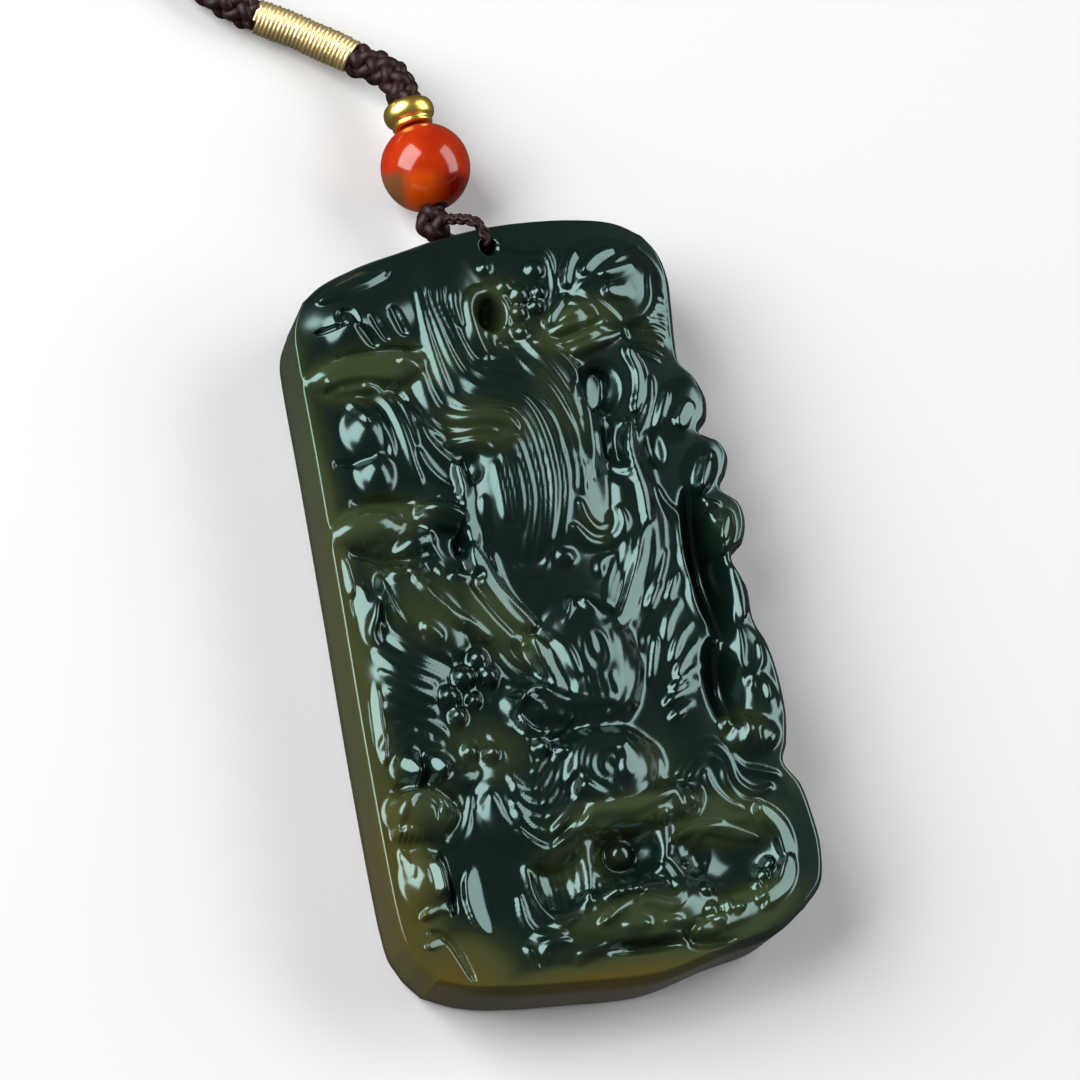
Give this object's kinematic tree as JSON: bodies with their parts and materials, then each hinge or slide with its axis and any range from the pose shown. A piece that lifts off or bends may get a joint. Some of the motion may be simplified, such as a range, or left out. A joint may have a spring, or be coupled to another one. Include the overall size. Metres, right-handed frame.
{
  "type": "jade dragon pendant",
  "caption": "Rectangular jade plaque carved with a dragon's head, on a thin cord through its top edge, with an agate bead, gilt spacer, gold-bound braid and neck cord.",
  "frame": {"origin": "on the plaque's flat back, near its middle", "axes": "+Z out of the carved face, +Y towards the plaque's top edge and the cord, +X to the right as seen from the front"},
  "size_m": [0.2109, 0.2711, 0.012],
  "materials": {
    "jade": "polished",
    "agate": "polished",
    "gilt": "polished",
    "gold_thread": "metallic thread",
    "dark_cord": "braided nylon"
  },
  "bodies": {
    "root": {"dragon_plaque": "jade", "loop_cord": "dark_cord", "bead_knot": "dark_cord", "agate_bead": "agate", "bead_thread": "dark_cord", "gold_spacer": "gilt", "braid_lower": "dark_cord", "gold_wrap": "gold_thread", "braid_upper": "dark_cord", "cord_knot": "dark_cord", "neck_cord_left": "dark_cord", "neck_cord_right": "dark_cord"}
  },
  "joints": []
}
